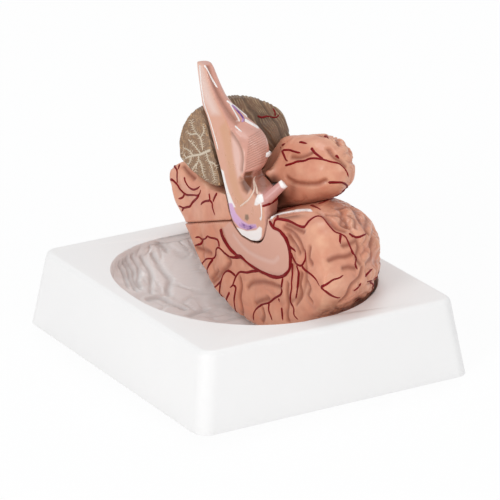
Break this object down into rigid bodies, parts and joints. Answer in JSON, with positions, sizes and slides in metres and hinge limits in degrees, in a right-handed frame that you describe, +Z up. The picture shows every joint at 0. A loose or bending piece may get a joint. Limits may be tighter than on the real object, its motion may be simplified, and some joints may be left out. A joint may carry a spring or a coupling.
{
  "type": "brain anatomy model",
  "caption": "Half of a take-apart brain teaching model lying upside down in a white moulded tray with a brain-shaped hollow; lobes, stem and cerebellum lift off on pegs.",
  "frame": {"origin": "middle of the tray's underside", "axes": "+Z up, +Y towards the back of the head along the tray's long side, +X towards the outer side of the half brain"},
  "size_m": [0.181, 0.2066, 0.1606],
  "materials": {
    "white_plastic": "smooth, slightly glossy",
    "painted_cortex": "hand-painted, satin lacquer",
    "painted_stem": "hand-painted, satin lacquer",
    "painted_cerebellum": "hand-painted, satin lacquer",
    "peg_steel": "turned"
  },
  "bodies": {
    "base": {"base_tray": "white_plastic", "frontal_parietal_lobe": "painted_cortex", "seam_peg_front": "peg_steel", "seam_peg_rear": "peg_steel"},
    "lower_lobes": {"temporal_occipital_lobe": "painted_cortex"},
    "stem": {"brain_stem": "painted_stem", "stem_peg_front": "peg_steel", "stem_peg_rear": "peg_steel", "cerebellum_peg_inner": "peg_steel", "cerebellum_peg_outer": "peg_steel"},
    "cerebellum_half": {"cerebellum": "painted_cerebellum"}
  },
  "joints": [
    {"name": "lower_lobes_lift", "type": "slide", "parent": "base", "child": "lower_lobes", "axis": [-0.094, 0.3289, 0.9397], "range_m": [0, 0.011]},
    {"name": "stem_draw", "type": "slide", "parent": "lower_lobes", "child": "stem", "axis": [-1, 0, 0], "range_m": [0, 0.008]},
    {"name": "cerebellum_draw", "type": "slide", "parent": "stem", "child": "cerebellum_half", "axis": [0, 0.9397, 0.342], "range_m": [0, 0.01]}
  ]
}
